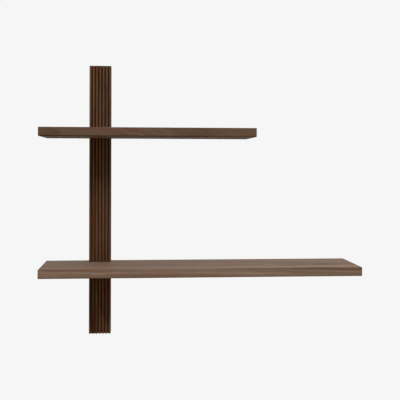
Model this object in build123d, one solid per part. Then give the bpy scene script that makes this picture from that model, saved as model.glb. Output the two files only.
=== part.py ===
from build123d import *

import os

# A wall shelf: two wooden boards, notched round one ribbed upright, carried on concealed steel brackets.
# Millimetres. X runs along the shelves, Y points at the wall and Z is up. The origin is the centre of
# the upright's back face, on the wall. A depth is counted from the wall towards the room, along -Y.

# Upright: one board with grooves cut down its front, which leave the ribs
UPRIGHT_WIDTH = 63.0
UPRIGHT_DEPTH = 40.0
UPRIGHT_HEIGHT = 788.0
RIB_COUNT = 7
GROOVE_WIDTH = 4.4
GROOVE_DEPTH = 6.0
RIB_EASE = 0.6

# Shelf boards
SHELF_DEPTH = 200.0
SHELF_THICKNESS = 25.0
SHELF_EASE = 1.5
SHELF_OVERHANG = 160.0  # from the upright's centre line to the left end of both boards
UPPER_SHELF_LENGTH = 600.0
UPPER_SHELF_TOP = 206.0
LOWER_SHELF_LENGTH = 900.0
LOWER_SHELF_TOP = -183.0

# Steel brackets: a plate on the wall and round rods that the boards slide over
PLATE_THICKNESS = 4.0
PLATE_CORNER = 3.0
ROD_DIAMETER = 10.0
ROD_REACH = 140.0  # from the wall to the rod's tip
ROD_TIP_CHAMFER = 1.0
ROD_SPACING = 22.0
SPIGOT_DIAMETER = 7.0  # the rod's stepped end, riveted into its plate
BRACKET_WIDTH = 36.0
BRACKET_HOLE_SPACING = 120.0
BRACKET_END_MARGIN = 15.0
END_HOLE_SPACING = 56.0
END_PLATE_MARGIN = 12.0
END_PLATE_COVER = 4.0  # wood above and below the end plate, in the board's back edge
END_BRACKET_INSET = 110.0  # from the board's right end to the bracket's centre
WALL_HOLE_DIAMETER = 5.5
COUNTERSINK_DIAMETER = 10.5
HEAD_POCKET_DIAMETER = 14.0
HEAD_POCKET_DEPTH = 3.0

# Lock screws: socket set screws in threaded inserts, driven up against the rods from below
LOCK_SETBACK = 50.0  # in front of the upright
LOCK_SCREW_DIAMETER = 6.0
LOCK_SCREW_SINK = 0.6
HEX_SOCKET = 3.0  # across flats
HEX_DEPTH = 2.6
INSERT_DIAMETER = 9.0
INSERT_ROOF = 1.2  # wood between the insert and the rod's underside

# Clearances, on each side
NOTCH_CLEARANCE = 0.3
PLATE_CLEARANCE = 0.3
ROD_CLEARANCE = 0.2
BORE_END_ROOM = 2.0
SPIGOT_CLEARANCE = 0.05
INSERT_CLEARANCE = 0.05
THREAD_CLEARANCE = 0.1
LOCK_GAP = 0.3

# Worked out from the sizes above
RIB_WIDTH = (UPRIGHT_WIDTH - (RIB_COUNT - 1) * GROOVE_WIDTH) / RIB_COUNT
BRACKET_HEIGHT = BRACKET_HOLE_SPACING + 2 * BRACKET_END_MARGIN
END_PLATE_LENGTH = END_HOLE_SPACING + 2 * END_PLATE_MARGIN
END_PLATE_HEIGHT = SHELF_THICKNESS - 2 * END_PLATE_COVER
BORE_RADIUS = ROD_DIAMETER / 2 + ROD_CLEARANCE
BORE_DEPTH = ROD_REACH + BORE_END_ROOM
LOCK_DEPTH = UPRIGHT_DEPTH + LOCK_SETBACK
UNDER_ROD = (SHELF_THICKNESS - ROD_DIAMETER) / 2  # from the board's underside up to the rod
INSERT_LENGTH = UNDER_ROD - INSERT_ROOF
INSERT_BORE_RADIUS = LOCK_SCREW_DIAMETER / 2 + THREAD_CLEARANCE
ROD_PLACES = {"left": -ROD_SPACING / 2, "right": ROD_SPACING / 2}
SHELVES = {
    "upper": (UPPER_SHELF_LENGTH, UPPER_SHELF_TOP),
    "lower": (LOWER_SHELF_LENGTH, LOWER_SHELF_TOP),
}


# Simple forms


def round_bar(radius, x, z, depth_from, depth_to):
    """A cylinder square to the wall, between two depths in front of it."""
    length = depth_to - depth_from
    return Pos(x, -depth_from - length / 2, z) * Rot(90, 0, 0) * Cylinder(radius, length)


def wall_slab(width, height, corner, x, z, depth):
    """A flat slab with round corners, its back on the wall."""
    outline = Plane.XZ * RectangleRounded(width, height, corner)
    return Pos(x, 0, z) * extrude(outline, depth)


def post(radius, x, depth, z_from, z_to):
    """An upright cylinder at one depth in front of the wall."""
    length = z_to - z_from
    return Pos(x, -depth, z_from + length / 2) * Cylinder(radius, length)


# Places that several pieces share


def middle_height(top):
    """The height of a board's rods: the middle of its thickness."""
    return top - SHELF_THICKNESS / 2


def end_bracket_x(length):
    return length - SHELF_OVERHANG - END_BRACKET_INSET


def lock_places(length):
    """Each rod's name and its place along the board."""
    return {**ROD_PLACES, "end": end_bracket_x(length)}


def bracket_holes(top):
    """The heights of the bracket plate's two wall holes."""
    middle = middle_height(top)
    return (middle - BRACKET_HOLE_SPACING / 2, middle + BRACKET_HOLE_SPACING / 2)


def end_holes(length):
    """The places along the board of the end plate's two wall holes."""
    middle = end_bracket_x(length)
    return (middle - END_HOLE_SPACING / 2, middle + END_HOLE_SPACING / 2)


# Wooden pieces


def ribbed_upright():
    """The upright: grooves down the front, and seats for the bracket plates in the back."""
    section = Pos(0, -UPRIGHT_DEPTH / 2) * Rectangle(UPRIGHT_WIDTH, UPRIGHT_DEPTH)
    pitch = RIB_WIDTH + GROOVE_WIDTH
    for groove in range(RIB_COUNT - 1):
        x = (groove - (RIB_COUNT - 2) / 2) * pitch
        section -= Pos(x, GROOVE_DEPTH / 2 - UPRIGHT_DEPTH) * Rectangle(GROOVE_WIDTH, GROOVE_DEPTH)
    section = fillet(section.vertices().group_by(Axis.Y)[0], RIB_EASE)
    board = Pos(0, 0, -UPRIGHT_HEIGHT / 2) * extrude(section, UPRIGHT_HEIGHT)
    for _, top in SHELVES.values():
        board -= bracket_seat(top)
    return board


def bracket_seat(top):
    """What is cut from the upright for one bracket: its plate, its rods and its screw heads."""
    middle = middle_height(top)
    floor = PLATE_THICKNESS + PLATE_CLEARANCE
    seat = wall_slab(
        BRACKET_WIDTH + 2 * PLATE_CLEARANCE,
        BRACKET_HEIGHT + 2 * PLATE_CLEARANCE,
        PLATE_CORNER + PLATE_CLEARANCE,
        0,
        middle,
        floor,
    )
    for x in ROD_PLACES.values():
        seat += round_bar(BORE_RADIUS, x, middle, 0, UPRIGHT_DEPTH)
    for z in bracket_holes(top):
        seat += round_bar(HEAD_POCKET_DIAMETER / 2, 0, z, 0, floor + HEAD_POCKET_DEPTH)
    return seat


def shelf_board(length, top):
    """One board: a notch for the upright, bores for the rods and holes for the lock screws."""
    middle = middle_height(top)
    left = -SHELF_OVERHANG
    board = Pos(left + length / 2, -SHELF_DEPTH / 2, middle) * Box(length, SHELF_DEPTH, SHELF_THICKNESS)
    back_edges = board.faces().sort_by(Axis.Y)[-1].edges()
    board = fillet([edge for edge in board.edges() if edge not in back_edges], SHELF_EASE)
    notch_depth = UPRIGHT_DEPTH + NOTCH_CLEARANCE
    notch = Box(UPRIGHT_WIDTH + 2 * NOTCH_CLEARANCE, notch_depth, SHELF_THICKNESS)
    board -= Pos(0, -notch_depth / 2, middle) * notch
    for x in ROD_PLACES.values():
        board -= round_bar(BORE_RADIUS, x, middle, UPRIGHT_DEPTH, BORE_DEPTH)
    board -= round_bar(BORE_RADIUS, end_bracket_x(length), middle, 0, BORE_DEPTH)
    board -= wall_slab(
        END_PLATE_LENGTH + 2 * PLATE_CLEARANCE,
        END_PLATE_HEIGHT + 2 * PLATE_CLEARANCE,
        PLATE_CORNER + PLATE_CLEARANCE,
        end_bracket_x(length),
        middle,
        PLATE_THICKNESS + PLATE_CLEARANCE,
    )
    underside = top - SHELF_THICKNESS
    for x in lock_places(length).values():
        board -= post(
            INSERT_DIAMETER / 2 + INSERT_CLEARANCE, x, LOCK_DEPTH, underside, underside + INSERT_LENGTH
        )
        board -= post(INSERT_BORE_RADIUS, x, LOCK_DEPTH, underside, middle)
    return board


# Steel brackets


def wall_plate(width, height, x, z, wall_holes, spigots):
    """A bracket's plate, with countersunk wall holes and the holes that its rods are riveted in."""
    plate = wall_slab(width, height, PLATE_CORNER, x, z, PLATE_THICKNESS)
    countersink_depth = (COUNTERSINK_DIAMETER - WALL_HOLE_DIAMETER) / 2
    countersink = Cone(COUNTERSINK_DIAMETER / 2, WALL_HOLE_DIAMETER / 2, countersink_depth)
    for hole_x, hole_z in wall_holes:
        plate -= round_bar(WALL_HOLE_DIAMETER / 2, hole_x, hole_z, 0, PLATE_THICKNESS)
        seat_middle = PLATE_THICKNESS - countersink_depth / 2
        plate -= Pos(hole_x, -seat_middle, hole_z) * Rot(-90, 0, 0) * countersink
    for spigot_x in spigots:
        plate -= round_bar(SPIGOT_DIAMETER / 2 + SPIGOT_CLEARANCE, spigot_x, z, 0, PLATE_THICKNESS)
    return plate


def bracket_plate(top):
    """The tall plate behind the upright."""
    holes = [(0, z) for z in bracket_holes(top)]
    return wall_plate(
        BRACKET_WIDTH, BRACKET_HEIGHT, 0, middle_height(top), holes, ROD_PLACES.values()
    )


def end_plate(length, top):
    """The long plate in the board's back edge, near its free end."""
    middle = middle_height(top)
    x = end_bracket_x(length)
    holes = [(hole_x, middle) for hole_x in end_holes(length)]
    return wall_plate(END_PLATE_LENGTH, END_PLATE_HEIGHT, x, middle, holes, [x])


def bracket_rod(x, top):
    """One rod: its stepped end in the plate, its shoulder on the plate and its tip chamfered."""
    middle = middle_height(top)
    bar = round_bar(ROD_DIAMETER / 2, x, middle, PLATE_THICKNESS, ROD_REACH)
    bar = chamfer(bar.faces().sort_by(Axis.Y)[0].edges(), ROD_TIP_CHAMFER)
    return bar + round_bar(SPIGOT_DIAMETER / 2, x, middle, 0, PLATE_THICKNESS)


# Fasteners


def lock_insert(x, top):
    """A threaded insert, flush with the board's underside."""
    underside = top - SHELF_THICKNESS
    sleeve = post(INSERT_DIAMETER / 2, x, LOCK_DEPTH, underside, underside + INSERT_LENGTH)
    return sleeve - post(INSERT_BORE_RADIUS, x, LOCK_DEPTH, underside, underside + INSERT_LENGTH)


def lock_screw(x, top):
    """A set screw in its insert, with a hexagon socket that faces down."""
    low = top - SHELF_THICKNESS + LOCK_SCREW_SINK
    high = top - SHELF_THICKNESS + UNDER_ROD - LOCK_GAP
    screw = post(LOCK_SCREW_DIAMETER / 2, x, LOCK_DEPTH, low, high)
    socket = extrude(RegularPolygon(HEX_SOCKET / 2, 6, major_radius=False), HEX_DEPTH)
    return screw - Pos(x, -LOCK_DEPTH, low) * socket


# The whole shelf


def all_pieces():
    """Every piece by its name."""
    pieces = {"upright": ribbed_upright()}
    for name, (length, top) in SHELVES.items():
        pieces[f"{name}_shelf"] = shelf_board(length, top)
        pieces[f"{name}_bracket_plate"] = bracket_plate(top)
        for side, x in ROD_PLACES.items():
            pieces[f"{name}_bracket_rod_{side}"] = bracket_rod(x, top)
        pieces[f"{name}_end_plate"] = end_plate(length, top)
        pieces[f"{name}_end_rod"] = bracket_rod(end_bracket_x(length), top)
        for place, x in lock_places(length).items():
            pieces[f"{name}_lock_insert_{place}"] = lock_insert(x, top)
            pieces[f"{name}_lock_screw_{place}"] = lock_screw(x, top)
    return pieces


os.makedirs("parts", exist_ok=True)
for piece_name, piece in all_pieces().items():
    export_step(piece, f"parts/{piece_name}.step")
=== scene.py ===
import math
from collections import namedtuple

import bpy
from mathutils import Matrix, Vector


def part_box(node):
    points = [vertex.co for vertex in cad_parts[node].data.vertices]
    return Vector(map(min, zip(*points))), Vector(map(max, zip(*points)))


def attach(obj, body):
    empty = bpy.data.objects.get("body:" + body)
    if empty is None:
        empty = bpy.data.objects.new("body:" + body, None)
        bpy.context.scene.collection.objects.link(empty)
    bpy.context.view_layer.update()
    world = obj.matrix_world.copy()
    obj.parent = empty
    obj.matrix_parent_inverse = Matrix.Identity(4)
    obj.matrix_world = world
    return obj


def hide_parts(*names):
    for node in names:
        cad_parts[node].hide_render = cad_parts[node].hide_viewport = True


# The wall shelf's looks: oiled walnut on the boards and the upright, plated steel behind them.
# Metres in the part's frame: X along the boards, Y into the wall, Z up. Wood grain is worked out in mm.

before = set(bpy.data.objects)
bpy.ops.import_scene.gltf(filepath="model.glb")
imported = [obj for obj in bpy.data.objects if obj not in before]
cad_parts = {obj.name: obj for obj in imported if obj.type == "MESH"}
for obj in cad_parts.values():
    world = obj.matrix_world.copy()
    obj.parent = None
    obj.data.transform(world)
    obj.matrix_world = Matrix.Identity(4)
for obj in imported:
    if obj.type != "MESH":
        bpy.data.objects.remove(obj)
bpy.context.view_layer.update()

# Camera, from the photograph's frame
FRAME_PX = 400
FOCAL_PX = 758.9
HORIZON_PX = 164.0
SENSOR_MM = 36.0
CAMERA_PLACE = (0.1116, -2.2884, 0.1057)
CAMERA_YAW = 0.0813
CAMERA_ROLL = 0.0025

# Stage and surroundings
FLOOR_PLACE = (0.29, -0.1, -1.4)
FLOOR_RADIUS = 2.2
FLOOR_SIDES = 96
FLOOR_COLOUR = (0.8, 0.8, 0.795, 1.0)
FLOOR_CLOUD = (0.7, 0.7, 0.69, 1.0)
FLOOR_CLOUD_LUMPS = (0.11, 0.11, 0.11)
FLOOR_CLOUD_SHARE = 0.06
BACKGROUND = (0.922, 0.922, 0.922, 1.0)
LIGHT_BELOW = (0.52, 0.4, 0.28, 1.0)
LIGHT_ABOVE = (0.62, 0.62, 0.62, 1.0)
LIGHT_BLEND = 0.6  # the height of a direction, up or down, from which the light is all of one kind


def rgb(red, green, blue):
    """A colour as read from a screen, from 0 to 255, in the linear values that shaders take."""

    def linear(value):
        share = value / 255
        return share / 12.92 if share <= 0.04045 else ((share + 0.055) / 1.055) ** 2.4

    return (linear(red), linear(green), linear(blue), 1.0)


class Shader:
    """One material's node tree, built with short calls that return output sockets."""

    def __init__(self, name):
        self.material = bpy.data.materials.new(name)
        self.material.use_nodes = True
        self.tree = self.material.node_tree
        self.tree.nodes.clear()
        found = self.node("TexCoord")
        self.place = found.outputs["Object"]
        self.x, self.y, self.z = self.split(self.place)
        self.normal = self.split(found.outputs["Normal"])
        _, self.back, self.up = self.normal

    def put(self, socket, value):
        """Links a socket to another one, or sets it to a plain value."""
        if isinstance(value, bpy.types.NodeSocket):
            self.tree.links.new(value, socket)
        else:
            socket.default_value = value

    def node(self, kind, settings=None, **inputs):
        """A new node. An input's name has underscores in place of spaces."""
        made = self.tree.nodes.new("ShaderNode" + kind)
        for key, value in (settings or {}).items():
            setattr(made, key, value)
        for key, value in inputs.items():
            self.put(made.inputs[key.replace("_", " ")], value)
        return made

    def math(self, operation, *values):
        made = self.node("Math", {"operation": operation})
        for socket, value in zip(made.inputs, values):
            self.put(socket, value)
        return made.outputs[0]

    def minus(self, value, other):
        return self.math("SUBTRACT", value, other)

    def times(self, value, *others):
        for other in others:
            value = self.math("MULTIPLY", value, other)
        return value

    def size(self, value):
        return self.math("ABSOLUTE", value)

    def vector(self, operation, *values, result="Vector"):
        made = self.node("VectorMath", {"operation": operation})
        for socket, value in zip(made.inputs, values):
            self.put(socket, value)
        return made.outputs[result]

    def length(self, vector):
        return self.vector("LENGTH", vector, result="Value")

    def join(self, x, y, z):
        return self.node("CombineXYZ", X=x, Y=y, Z=z).outputs[0]

    def split(self, vector):
        made = self.node("SeparateXYZ", Vector=vector)
        return made.outputs[0], made.outputs[1], made.outputs[2]

    def noise(self, vector, lengths, detail=2.0, roughness=0.5, result=0):
        """Smooth noise from 0 to 1, whose lumps have the given lengths along the vector's axes."""
        scaled = self.vector("DIVIDE", vector, lengths)
        made = self.node("TexNoise", Vector=scaled, Scale=1.0, Detail=detail, Roughness=roughness)
        return made.outputs[result]

    def band(self, value, start, end, low=0.0, high=1.0):
        """A smooth step from low to high, as the value goes from start to end."""
        made = self.node("MapRange", {"interpolation_type": "SMOOTHSTEP"}, Value=value)
        made.inputs["From Min"].default_value = start
        made.inputs["From Max"].default_value = end
        made.inputs["To Min"].default_value = low
        made.inputs["To Max"].default_value = high
        return made.outputs["Result"]

    def mix(self, factor, a, b, blend="MIX"):
        """Two colours mixed by a factor."""
        made = self.node("Mix", {"data_type": "RGBA", "blend_type": blend})
        colour_a, colour_b = [socket for socket in made.inputs if socket.type == "RGBA"]
        self.put(made.inputs[0], factor)
        self.put(colour_a, a)
        self.put(colour_b, b)
        return next(socket for socket in made.outputs if socket.type == "RGBA")

    def tint(self, factor, colour, tint):
        """A colour times a tint, as far as the factor says."""
        return self.mix(factor, colour, tint, "MULTIPLY")

    def surface(self, specular=None, **inputs):
        """Ends the tree in a surface, and returns the material."""
        shader = self.node("BsdfPrincipled", **inputs)
        if specular is not None:
            shader.inputs["Specular IOR Level"].default_value = specular
        output = self.node("OutputMaterial")
        self.tree.links.new(shader.outputs[0], output.inputs["Surface"])
        return self.material


# Walnut

# A plank's grain axis, its place along the trunk, where the pith lies across and through it at the origin,
# how the pith leans and sways past it, the width of the wood's streaks and its colours
Plank = namedtuple("Plank", "node grain start pith lean sway streak dark brown light")

LOWER = Plank(
    node="lower_shelf",
    grain="X",
    start=3684,
    pith=(-118, -262),
    lean=(0.012, 0.022),
    sway=10,
    streak=9,
    dark=rgb(91, 71, 58),
    brown=rgb(118, 98, 85),
    light=rgb(142, 123, 109),
)
UPPER = Plank(
    node="upper_shelf",
    grain="X",
    start=6730,
    pith=(-262, 190),
    lean=(0.05, 0.01),
    sway=26,
    streak=4,
    dark=rgb(69, 50, 38),
    brown=rgb(95, 76, 62),
    light=rgb(116, 97, 82),
)
UPRIGHT = Plank(
    node="upright",
    grain="Z",
    start=3576,
    pith=(12, 66),
    lean=(0.006, 0.015),
    sway=10,
    streak=9,
    dark=rgb(60, 29, 11),
    brown=rgb(96, 67, 47),
    light=rgb(115, 87, 66),
)

# Grain, in mm: the lengths of lumps are along the trunk and two ways across it
RING_WIDTH = 4.6
RING_DRIFT = 13.0
RING_DRIFT_LENGTH = 19
SWAY_LUMPS = (520, 210, 210)
RIPPLE = 2.2
RIPPLE_LUMPS = (70, 22, 22)
STREAK_LENGTH = 620
STREAK_DEPTH = 240
FIBRE_LUMPS = (60, 0.9, 0.9)
PATCH_LUMPS = (260, 34, 34)
SMEAR_LUMPS = (140, 60, 60)
PORE_SIZE = (7.0, 0.5, 0.5)

# Shares, from 0 to 1
STREAK_SHARE = 0.72
LATE_WOOD_SHARE = 0.5
PORE_SHARE = 0.8
ROUGHNESS = 0.55
SMEAR_ROUGHNESS = 0.18
PORE_ROUGHNESS = 0.15
RELIEF_STRENGTH = 0.4
SPECULAR = 0.025

RED_TINT = (1.10, 0.93, 0.86, 1.0)
OLIVE_TINT = (0.96, 1.02, 0.90, 1.0)
PORE_TINT = (0.45, 0.38, 0.33, 1.0)
END_GRAIN_TINT = (0.62, 0.57, 0.53, 1.0)
RELIEF_DEPTH = 0.00012


def tree_place(s, plank):
    """Where a point of the plank grew, in mm: along the trunk, and two ways out from its wandering pith."""
    x, y, z = s.split(s.vector("MULTIPLY", s.place, (1000, 1000, 1000)))
    along, across, through = (x, y, z) if plank.grain == "X" else (z, x, y)
    straight = s.join(
        s.math("ADD", along, plank.start),
        s.math("MULTIPLY_ADD", along, plank.lean[0], s.minus(across, plank.pith[0])),
        s.math("MULTIPLY_ADD", along, plank.lean[1], s.minus(through, plank.pith[1])),
    )
    sway = s.noise(straight, SWAY_LUMPS, detail=1.0, result=1)
    ripple = s.noise(straight, RIPPLE_LUMPS, detail=2.0, result=1)
    place = straight
    for lumps, size in ((sway, plank.sway), (ripple, RIPPLE)):
        centred = s.vector("SUBTRACT", lumps, (0.5, 0.5, 0.5))
        place = s.vector("ADD", place, s.vector("MULTIPLY", centred, (0, 2 * size, 2 * size)))
    return place


def growth_rings(s, place):
    """The radius from the pith, the dark late wood, from 0 to 1, and the ring's phase."""
    radius = s.length(s.vector("MULTIPLY", place, (0, 1, 1)))
    uneven = s.noise(s.join(radius, 0.0, 0.0), (RING_DRIFT_LENGTH, 1, 1), detail=1.0)
    count = s.math("DIVIDE", s.math("MULTIPLY_ADD", uneven, RING_DRIFT, radius), RING_WIDTH)
    phase = s.math("FRACT", count)
    vigour = s.node("TexWhiteNoise", {"noise_dimensions": "1D"}, W=s.math("FLOOR", count)).outputs["Value"]
    late = s.times(s.band(phase, 0.30, 0.94), s.band(phase, 1.0, 0.94))
    return radius, s.times(late, s.band(vigour, 0.0, 1.0, 0.25, 1.0)), phase


def pore_marks(s, place, phase):
    """Short dark dashes along the grain, crowded in the early wood. They are dots on the end grain."""
    cells = s.node("TexVoronoi", Vector=s.vector("DIVIDE", place, PORE_SIZE), Scale=1.0)
    some = s.band(s.split(cells.outputs["Color"])[0], 0.45, 0.6)
    dash = s.band(cells.outputs["Distance"], 0.42, 0.24)
    return s.times(dash, some, s.band(phase, 0.85, 0.25, 0.25, 1.0))


def end_grain(s, plank):
    """1 on faces cut across the grain, and 0 on faces along it."""
    facing = s.normal["XYZ".index(plank.grain)]
    return s.band(s.size(facing), 0.55, 0.85)


def walnut_colour(s, plank, place, radius, late, pores):
    """The plank's colour and fibres: bands that follow the rings, tint patches, late wood and pores."""
    along, across, _ = s.split(place)
    lengths = (STREAK_LENGTH, plank.streak, STREAK_DEPTH)
    streak = s.noise(s.join(along, radius, across), lengths, detail=4.0, roughness=0.58)
    fibre = s.noise(place, FIBRE_LUMPS, detail=3.0, roughness=0.6)
    patch = s.noise(place, PATCH_LUMPS, detail=3.0)
    tone = s.math("ADD", s.times(streak, STREAK_SHARE), s.times(fibre, 1.0 - STREAK_SHARE))
    colour = s.mix(s.band(tone, 0.30, 0.50), plank.dark, plank.brown)
    colour = s.mix(s.band(tone, 0.50, 0.70), colour, plank.light)
    colour = s.mix(s.times(late, LATE_WOOD_SHARE), colour, plank.dark)
    colour = s.tint(s.band(patch, 0.50, 0.70), colour, RED_TINT)
    colour = s.tint(s.band(patch, 0.48, 0.30), colour, OLIVE_TINT)
    colour = s.tint(s.times(pores, PORE_SHARE), colour, PORE_TINT)
    return s.tint(end_grain(s, plank), colour, END_GRAIN_TINT), fibre


def walnut(plank, details):
    """Oiled walnut cut from its own place in a trunk, with the plank's details on top, painted light and
    shade among them.
    """
    s = Shader("walnut_" + plank.node)
    place = tree_place(s, plank)
    radius, late, phase = growth_rings(s, place)
    pores = pore_marks(s, place, phase)
    colour, fibre = walnut_colour(s, plank, place, radius, late, pores)
    relief = s.minus(s.times(fibre, 0.5), pores)
    bump = s.node("Bump", Strength=RELIEF_STRENGTH, Distance=RELIEF_DEPTH, Height=relief)
    smear = s.noise(place, SMEAR_LUMPS, detail=3.0)
    rough = s.math("MULTIPLY_ADD", pores, PORE_ROUGHNESS, ROUGHNESS)
    rough = s.math("MULTIPLY_ADD", smear, SMEAR_ROUGHNESS, rough)
    colour = details(s, plank, colour)
    return s.surface(SPECULAR, Base_Color=colour, Roughness=rough, Normal=bump.outputs["Normal"])


# Details of the boards: a painted highlight and a painted shade streak along the front of their tops, and
# painted shade along their arrises

# Painted highlight along the front of a board's top, stronger towards the right
HIGHLIGHT_TINT = (1.5, 1.5, 1.5, 1.0)
HIGHLIGHT_START = 0.014
HIGHLIGHT_END = 0.045
STREAK_SWAY = 0.02
STREAK_SWAY_LUMPS = (0.22, 0.4, 0.4)
# Painted shade: a dark streak before the painted highlight, near the left end of a board's top
SHADE_STREAK_TINT = (0.50, 0.45, 0.40, 1.0)
SHADE_STREAK_X = (0.10, 0.02)  # it fades in from the first place to the second

# Painted shade along the boards' arrises, as dark lines
ARRIS_SHADE_TINT = (0.40, 0.35, 0.31, 1.0)
ARRIS_LINE = 0.003
END_ARRIS_SHADE = 0.75
# A long arris changes along X: from this place, to that one, and its darkness on the left and the right
TOP_ARRIS = (0.34, 0.42, 0.0, 0.25)
BOTTOM_ARRIS = {"upper_shelf": (0.20, 0.44, 1.0, 0.45), "lower_shelf": (0.20, 0.32, 0.6, 0.15)}


def front_highlight_and_shade(s, low, high, colour):
    """Painted light along the front of a board's top: a pale painted highlight, stronger to the right, and a
    painted shade streak before it near the left end.
    """
    top = s.band(s.up, 0.9, 0.99)
    sway = s.minus(s.noise(s.place, STREAK_SWAY_LUMPS), 0.5)
    front = s.math("MULTIPLY_ADD", sway, STREAK_SWAY, s.minus(s.y, low.y))
    # The painted highlight
    highlight = s.times(s.band(front, 0.8 * HIGHLIGHT_START, 1.2 * HIGHLIGHT_START), s.band(front, HIGHLIGHT_END, 0.8 * HIGHLIGHT_END))
    stronger = s.band(s.x, low.x, high.x, 0.5, 1.0)
    colour = s.tint(s.times(highlight, stronger, top), colour, HIGHLIGHT_TINT)
    # The painted shade streak
    dark = s.band(front, HIGHLIGHT_START, 0.7 * HIGHLIGHT_START)
    return s.tint(s.times(dark, s.band(s.x, *SHADE_STREAK_X), top), colour, SHADE_STREAK_TINT)


def shaded_arrises(s, node, low, high, colour):
    """Painted shade as dark lines along a board's arrises: the right part of the top one, the bottom one and
    the ends'.
    """
    below_top = s.band(s.minus(high.z, s.z), ARRIS_LINE, 0.4 * ARRIS_LINE)
    top = s.times(below_top, s.band(s.x, *TOP_ARRIS), s.band(s.up, 0.97, 0.85))
    above_bottom = s.band(s.minus(s.z, low.z), ARRIS_LINE, 0.6 * ARRIS_LINE)
    bottom = s.times(above_bottom, s.band(s.x, *BOTTOM_ARRIS[node]), s.band(s.up, -0.97, -0.8))
    inward = s.vector("MINIMUM", s.vector("SUBTRACT", s.place, low), s.vector("SUBTRACT", high, s.place))
    from_end, from_side, _ = s.split(inward)
    near_end = s.band(s.math("MAXIMUM", from_end, from_side), ARRIS_LINE, 0.5 * ARRIS_LINE, 0.0, END_ARRIS_SHADE)
    end = s.times(near_end, s.band(s.size(s.up), 0.97, 0.85))
    for line in (top, bottom, end):
        colour = s.tint(line, colour, ARRIS_SHADE_TINT)
    return colour


def board_details(s, plank, colour):
    """A board's colour with all its details."""
    low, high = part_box(plank.node)
    colour = front_highlight_and_shade(s, low, high, colour)
    return shaded_arrises(s, plank.node, low, high, colour)


# Details of the upright: painted light that makes it paler towards its head, ribs with tints of their own,
# and painted shade in its grooves

RIB_COUNT = 7
GROOVE_WIDTH = 0.0044
GROOVE_DEPTH = 0.006
SIDE_MARGIN = 0.0002
RIB_DRIFT = 0.17
RIB_STEP = 7.0  # how far apart the ribs lie in the noise that tints them
# Painted light: the upright is painted paler from its foot to its head
FOOT_LIGHT_TINT = (0.86, 0.86, 0.88, 1.0)
HEAD_LIGHT_TINT = (1.05, 1.25, 1.50, 1.0)
RIB_RED_TINT = (1.10, 0.88, 0.78, 1.0)
RIB_OLIVE_TINT = (0.97, 1.05, 1.02, 1.0)
# Painted shade in the upright's grooves
GROOVE_SHADE_TINT = (0.40, 0.28, 0.18, 1.0)
GROOVE_SHADE_FOOT = 0.35
GROOVE_SHADE_HEAD = 1.0


def rib_tints(s, low, high, colour):
    """Each rib is redder or more olive than the next, and its tint drifts along it."""
    pitch = (high.x - low.x + GROOVE_WIDTH) / RIB_COUNT
    rib = s.math("FLOOR", s.math("DIVIDE", s.minus(s.x, low.x - GROOVE_WIDTH / 2), pitch))
    drift = s.noise(s.join(s.times(rib, RIB_STEP), 0.0, s.z), (1.0, 1.0, RIB_DRIFT))
    near = s.band(s.minus(s.y, low.y), 2 * GROOVE_DEPTH, 0.0)
    colour = s.tint(s.times(near, s.band(drift, 0.5, 0.62)), colour, RIB_RED_TINT)
    return s.tint(s.times(near, s.band(drift, 0.5, 0.38)), colour, RIB_OLIVE_TINT)


def shaded_grooves(s, low, high, colour):
    """Painted shade in the grooves, which makes them darker than the ribs, least at the upright's foot and
    most at its head.
    """
    deep = s.band(s.minus(s.y, low.y), 0.1 * GROOVE_DEPTH, 0.5 * GROOVE_DEPTH)
    inside = s.band(s.size(s.x), high.x - SIDE_MARGIN, high.x - 2 * SIDE_MARGIN)
    front = s.times(s.band(s.back, 0.7, 0.3), s.band(s.size(s.up), 0.8, 0.4))
    share = s.band(s.z, low.z, high.z, GROOVE_SHADE_FOOT, GROOVE_SHADE_HEAD)
    return s.tint(s.times(deep, inside, front, share), colour, GROOVE_SHADE_TINT)


def upright_details(s, plank, colour):
    """The upright's colour with all its details."""
    low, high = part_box(plank.node)
    # Painted light, paler towards the head
    painted_light = s.mix(s.band(s.z, low.z, high.z), FOOT_LIGHT_TINT, HEAD_LIGHT_TINT)
    colour = s.tint(1.0, colour, painted_light)
    return shaded_grooves(s, low, high, rib_tints(s, low, high, colour))


# Metal

CLOUD_LUMPS = (0.007, 0.007, 0.007)
CLOUD_SHADE = 0.8
SCRATCH_DEPTH = 0.00005
SCRATCH_STRENGTH = 0.2
GLOSS_SPREAD = 0.22


def metal(name, colour, roughness, streaks):
    """Bare or plated metal with a cloudy finish, and fine streaks of the given lengths."""
    s = Shader(name)
    cloud = s.noise(s.place, CLOUD_LUMPS, detail=4.0, roughness=0.65)
    lines = s.noise(s.place, streaks, detail=3.0)
    dull = tuple(CLOUD_SHADE * share for share in colour[:3]) + (1.0,)
    tint = s.mix(s.band(cloud, 0.35, 0.7), dull, colour)
    gloss = s.math("MULTIPLY_ADD", lines, GLOSS_SPREAD, roughness - GLOSS_SPREAD / 2)
    bump = s.node("Bump", Strength=SCRATCH_STRENGTH, Distance=SCRATCH_DEPTH, Height=lines)
    return s.surface(Base_Color=tint, Roughness=gloss, Normal=bump.outputs["Normal"], Metallic=1.0)


# Fasteners: threaded meshes in place of the plain solids

SEGMENTS = 24
RINGS_A_TURN = 6
SCREW_PITCH = 0.001
SCREW_ROOT = 0.00245
THREAD_GAP = 0.0001
HEX_SOCKET = 0.003
HEX_DEPTH = 0.0026
CUP_RADIUS = 0.0014
CUP_DEPTH = 0.0006
INSERT_PITCH = 0.0018
INSERT_ROOT = 0.0039
INSERT_COLLAR = 0.0012
SHARP_ANGLE = math.radians(40)


def thread(angle, height, root, crest, pitch):
    """A thread's radius: it climbs by one pitch in each turn, with flats at its root and crest."""
    wave = abs(2 * ((height / pitch - angle / math.tau) % 1.0) - 1)
    return root + (crest - root) * min(1.0, max(0.0, 1.3 * wave - 0.15))


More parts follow.
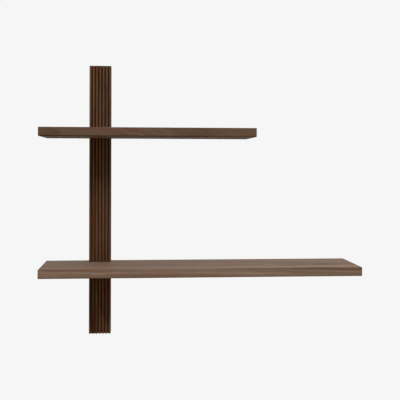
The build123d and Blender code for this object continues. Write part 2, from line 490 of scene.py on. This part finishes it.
def hexagon(angle):
    """A hexagon socket's radius."""
    sixth = math.tau / 6
    return HEX_SOCKET / 2 / math.cos((angle + sixth / 2) % sixth - sixth / 2)


def ring(axis, height, radius):
    """One ring of points about an upright axis, at a height. The radius is a function of the angle."""
    points = []
    for step in range(SEGMENTS):
        angle = math.tau * step / SEGMENTS
        reach = radius(angle)
        points.append((axis.x + reach * math.cos(angle), axis.y + reach * math.sin(angle), height))
    return points


def thread_heights(start, end, pitch):
    """The heights of a thread's rings, evenly spaced from start to end."""
    count = round(RINGS_A_TURN * abs(end - start) / pitch)
    return [start + (end - start) * step / count for step in range(count + 1)]


def skin(name, rings, closed):
    """A mesh through rings of points. Its two ends are capped, or closed to each other as on a tube."""
    faces = []
    for row in range(len(rings) if closed else len(rings) - 1):
        this = row * SEGMENTS
        other = (row + 1) % len(rings) * SEGMENTS
        for step in range(SEGMENTS):
            after = (step + 1) % SEGMENTS
            faces.append((this + step, this + after, other + after, other + step))
    if not closed:
        last = (len(rings) - 1) * SEGMENTS
        faces.append(tuple(reversed(range(SEGMENTS))))
        faces.append(tuple(range(last, last + SEGMENTS)))
    mesh = bpy.data.meshes.new(name)
    mesh.from_pydata([point for points in rings for point in points], [], faces)
    mesh.shade_smooth()
    mesh.set_sharp_from_angle(angle=SHARP_ANGLE)
    return mesh


def set_screw(name, node):
    """A set screw with a hexagon socket below, a threaded side with chamfered ends and a cup point above."""
    low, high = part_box(node)
    axis = (low + high) / 2
    crest = (high.x - low.x) / 2

    def side(height):
        chamfer = SCREW_ROOT + min(height - low.z, high.z - height)
        return lambda angle: min(thread(angle, height - low.z, SCREW_ROOT, crest, SCREW_PITCH), chamfer)

    rings = [ring(axis, low.z + HEX_DEPTH, hexagon), ring(axis, low.z, hexagon)]
    rings += [ring(axis, height, side(height)) for height in thread_heights(low.z, high.z, SCREW_PITCH)]
    rings.append(ring(axis, high.z, lambda angle: CUP_RADIUS))
    rings.append(ring(axis, high.z - CUP_DEPTH, lambda angle: CUP_RADIUS / 3))
    return skin(name, rings, closed=False)


def threaded_insert(name, node, screw_node):
    """An insert: a collar at the board's underside, a coarse thread outside and the screw's thread inside."""
    low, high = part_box(node)
    screw_low, screw_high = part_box(screw_node)
    axis = (low + high) / 2
    crest = (high.x - low.x) / 2
    screw_crest = (screw_high.x - screw_low.x) / 2
    collar = low.z + INSERT_COLLAR

    def outside(height):
        chamfer = INSERT_ROOT + min(height - collar, high.z - height)
        return lambda angle: min(thread(angle, height - low.z, INSERT_ROOT, crest, INSERT_PITCH), chamfer)

    def inside(height):
        mouth = screw_crest - min(height - low.z, high.z - height)
        return lambda angle: THREAD_GAP + max(
            thread(angle, height - screw_low.z, SCREW_ROOT, screw_crest, SCREW_PITCH), mouth
        )

    rings = [ring(axis, height, lambda angle: crest) for height in (low.z, collar)]
    rings += [ring(axis, height, outside(height)) for height in thread_heights(collar, high.z, INSERT_PITCH)]
    rings += [ring(axis, height, inside(height)) for height in thread_heights(high.z, low.z, SCREW_PITCH)]
    return skin(name, rings, closed=True)


# Dressing the part


def dress(node, material):
    """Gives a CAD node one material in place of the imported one."""
    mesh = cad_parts[node].data
    mesh.materials.clear()
    mesh.materials.append(material)


def fit_fastener(mesh, node, body, material):
    """Shows a mesh in place of a CAD fastener."""
    mesh.materials.append(material)
    piece = bpy.data.objects.new(mesh.name, mesh)
    bpy.context.scene.collection.objects.link(piece)
    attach(piece, body)
    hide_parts(node)


def dress_wood():
    dress(LOWER.node, walnut(LOWER, board_details))
    dress(UPPER.node, walnut(UPPER, board_details))
    dress(UPRIGHT.node, walnut(UPRIGHT, upright_details))


def dress_brackets():
    zinc = metal("zinc_plate", (0.52, 0.54, 0.55, 1.0), roughness=0.36, streaks=(0.03, 0.03, 0.0004))
    drawn = metal("drawn_steel", (0.6, 0.6, 0.61, 1.0), roughness=0.3, streaks=(0.0004, 0.03, 0.0004))
    for shelf in ("upper", "lower"):
        for plate in ("bracket_plate", "end_plate"):
            dress(f"{shelf}_{plate}", zinc)
        for rod in ("bracket_rod_left", "bracket_rod_right", "end_rod"):
            dress(f"{shelf}_{rod}", drawn)


def fit_fasteners():
    black = metal("black_oxide", (0.035, 0.034, 0.035, 1.0), roughness=0.42, streaks=(0.003, 0.003, 0.001))
    brass = metal("turned_brass", (0.72, 0.5, 0.2, 1.0), roughness=0.3, streaks=(0.005, 0.005, 0.0004))
    for shelf in ("upper", "lower"):
        for spot in ("left", "right", "end"):
            screw = f"{shelf}_lock_screw_{spot}"
            insert = f"{shelf}_lock_insert_{spot}"
            screw_mesh = set_screw(f"{shelf}_set_screw_{spot}", screw)
            insert_mesh = threaded_insert(f"{shelf}_threaded_insert_{spot}", insert, screw)
            fit_fastener(screw_mesh, screw, f"{shelf}_board", black)
            fit_fastener(insert_mesh, insert, f"{shelf}_board", brass)


# Stage, light and camera


def make_floor():
    """A pale round floor below the part: it fades at its rim, shows only from above and bounces no light."""
    s = Shader("pale_floor")
    cloud = s.noise(s.place, FLOOR_CLOUD_LUMPS, detail=5.0)
    tint = s.mix(s.band(cloud, 0.3, 0.7, 0.0, FLOOR_CLOUD_SHARE), FLOOR_COLOUR, FLOOR_CLOUD)
    below = s.node("NewGeometry").outputs["Backfacing"]
    fade = s.band(s.length(s.place), FLOOR_RADIUS, 0.5 * FLOOR_RADIUS)
    there = s.times(fade, s.minus(1.0, below))
    bpy.ops.mesh.primitive_circle_add(
        vertices=FLOOR_SIDES, radius=FLOOR_RADIUS, fill_type="NGON", location=FLOOR_PLACE
    )
    floor = bpy.context.object
    floor.name = "floor"
    floor.visible_diffuse = False
    floor.data.materials.append(s.surface(Base_Color=tint, Roughness=0.9, Alpha=there))


def background(tree, colour):
    """Surroundings of one colour."""
    made = tree.nodes.new("ShaderNodeBackground")
    made.inputs["Color"].default_value = colour
    return made.outputs[0]


def mixed(tree, factor, first, second):
    """Two kinds of surroundings mixed by a factor."""
    made = tree.nodes.new("ShaderNodeMixShader")
    for socket, source in zip(made.inputs, (factor, first, second)):
        tree.links.new(source, socket)
    return made.outputs[0]


def make_world():
    """Surroundings that light the part, warmer and dimmer from below, and show as the background's grey."""
    world = bpy.data.worlds.new("studio")
    world.use_nodes = True
    tree = world.node_tree
    tree.nodes.clear()
    ray = tree.nodes.new("ShaderNodeLightPath")
    seen = ray.outputs["Is Camera Ray"]
    for kind in ("Is Glossy Ray", "Is Transmission Ray"):
        either = tree.nodes.new("ShaderNodeMath")
        either.operation = "MAXIMUM"
        tree.links.new(seen, either.inputs[0])
        tree.links.new(ray.outputs[kind], either.inputs[1])
        seen = either.outputs[0]
    direction = tree.nodes.new("ShaderNodeSeparateXYZ")
    tree.links.new(tree.nodes.new("ShaderNodeTexCoord").outputs["Generated"], direction.inputs[0])
    height = tree.nodes.new("ShaderNodeMapRange")
    height.inputs["From Min"].default_value = -LIGHT_BLEND
    height.inputs["From Max"].default_value = LIGHT_BLEND
    tree.links.new(direction.outputs["Z"], height.inputs["Value"])
    below = background(tree, LIGHT_BELOW)
    above = background(tree, LIGHT_ABOVE)
    light = mixed(tree, height.outputs["Result"], below, above)
    surface = mixed(tree, seen, light, background(tree, BACKGROUND))
    output = tree.nodes.new("ShaderNodeOutputWorld")
    tree.links.new(surface, output.inputs["Surface"])
    bpy.context.scene.world = world


def soft_light(name, place, target, size, watts):
    """A soft rectangular lamp, which the camera doesn't see."""
    lamp = bpy.data.lights.new(name, "AREA")
    lamp.shape = "RECTANGLE"
    lamp.size, lamp.size_y = size
    lamp.energy = watts
    holder = bpy.data.objects.new(name, lamp)
    holder.location = place
    holder.rotation_euler = (Vector(target) - Vector(place)).to_track_quat("-Z", "Y").to_euler()
    holder.visible_camera = False
    bpy.context.scene.collection.objects.link(holder)


def make_camera():
    """The photograph's camera: level, turned a little to the right, with the horizon above the middle."""
    lens = bpy.data.cameras.new("camera")
    lens.sensor_width = SENSOR_MM
    lens.lens = FOCAL_PX / FRAME_PX * SENSOR_MM
    lens.shift_y = (HORIZON_PX - FRAME_PX / 2) / FRAME_PX
    camera = bpy.data.objects.new("camera", lens)
    level = Matrix.Rotation(math.radians(90), 4, "X")
    turned = Matrix.Rotation(-CAMERA_YAW, 4, "Z") @ level @ Matrix.Rotation(CAMERA_ROLL, 4, "Z")
    camera.matrix_world = Matrix.Translation(CAMERA_PLACE) @ turned
    bpy.context.scene.collection.objects.link(camera)
    bpy.context.scene.camera = camera


dress_wood()
dress_brackets()
fit_fasteners()
make_floor()
make_world()
soft_light("key", place=(0.4, -2.8, 3.0), target=(0.3, -0.1, 0.0), size=(3.0, 1.9), watts=116.0)
soft_light("overhead", place=(0.5, 0.0, 4.0), target=(0.35, -0.1, 0.0), size=(2.6, 2.2), watts=16.0)
make_camera()
bpy.context.scene.view_settings.view_transform = "Standard"
